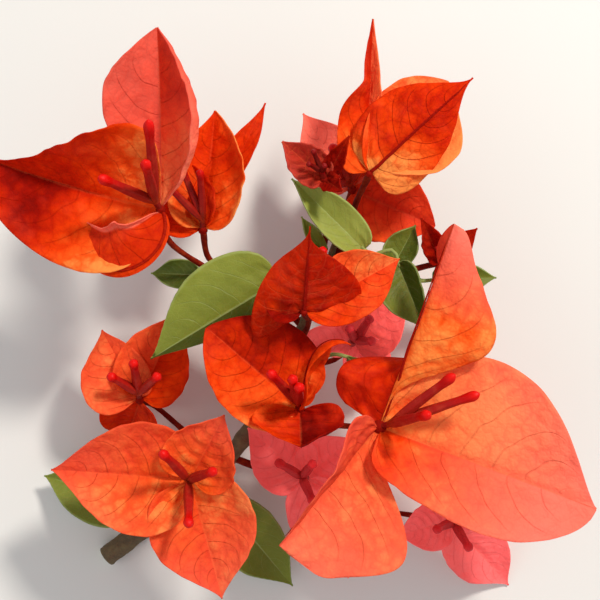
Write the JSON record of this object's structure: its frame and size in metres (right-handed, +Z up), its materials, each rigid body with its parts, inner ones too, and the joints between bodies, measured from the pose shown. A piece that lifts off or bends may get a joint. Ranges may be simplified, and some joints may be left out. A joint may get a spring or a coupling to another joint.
{
  "type": "bougainvillea flowering branch",
  "caption": "Cut flowering branch of a bougainvillea, lying flat: a woody stem with slender stalks, blooms of three papery orange bracts round slim flowers, and green leaves.",
  "frame": {"origin": "middle of the foot of the branch's box, on the surface that it lies on", "axes": "+Z up from that surface, +Y from the cut end's side towards the top bloom, +X to the right as the blooms are seen from above"},
  "size_m": [0.133, 0.1272, 0.062],
  "materials": {
    "bark": "rough brown-green bark",
    "stalk": "matt dark red-brown skin",
    "bract": "papery, finely veined, slightly see-through, orange-red",
    "bract_pink": "papery, finely veined, slightly see-through, coral pink",
    "bract_young": "crinkled young bracts, dark crimson",
    "flower": "waxy dark red tubes with brighter closed tips",
    "leaf": "matt to satin green leaf"
  },
  "bodies": {
    "root": {"stem": "bark", "bracts_left": "bract", "flowers_left": "flower", "stalk_left": "stalk", "bracts_leftBack": "bract", "flowers_leftBack": "flower", "stalk_leftBack": "stalk", "bracts_right": "bract", "flowers_right": "flower", "stalk_right": "stalk", "bracts_top": "bract", "flowers_top": "flower", "stalk_top": "stalk", "bracts_topBack": "bract", "flowers_topBack": "flower", "stalk_topBack": "stalk", "bracts_bud": "bract_young", "flowers_bud": "flower", "stalk_bud": "stalk", "bracts_rightBud": "bract_young", "flowers_rightBud": "flower", "stalk_rightBud": "stalk", "bracts_middle": "bract", "flowers_middle": "flower", "stalk_middle": "stalk", "bracts_centreBack": "bract_pink", "flowers_centreBack": "flower", "stalk_centreBack": "stalk", "bracts_low": "bract", "flowers_low": "flower", "stalk_low": "stalk", "bracts_lowLeft": "bract", "flowers_lowLeft": "flower", "stalk_lowLeft": "stalk", "bracts_nearCut": "bract", "flowers_nearCut": "flower", "stalk_nearCut": "stalk", "bracts_lowBack": "bract_pink", "flowers_lowBack": "flower", "stalk_lowBack": "stalk", "bracts_rightBack": "bract_pink", "flowers_rightBack": "flower", "stalk_rightBack": "stalk", "leaf_upper": "leaf", "leaf_left": "leaf", "leaf_right": "leaf", "leaf_rightUp": "leaf", "leaf_far": "leaf", "leaf_edge": "leaf", "leaf_young": "leaf", "leaf_low": "leaf", "leaf_foot": "leaf", "leaf_dark": "leaf"}
  },
  "joints": []
}
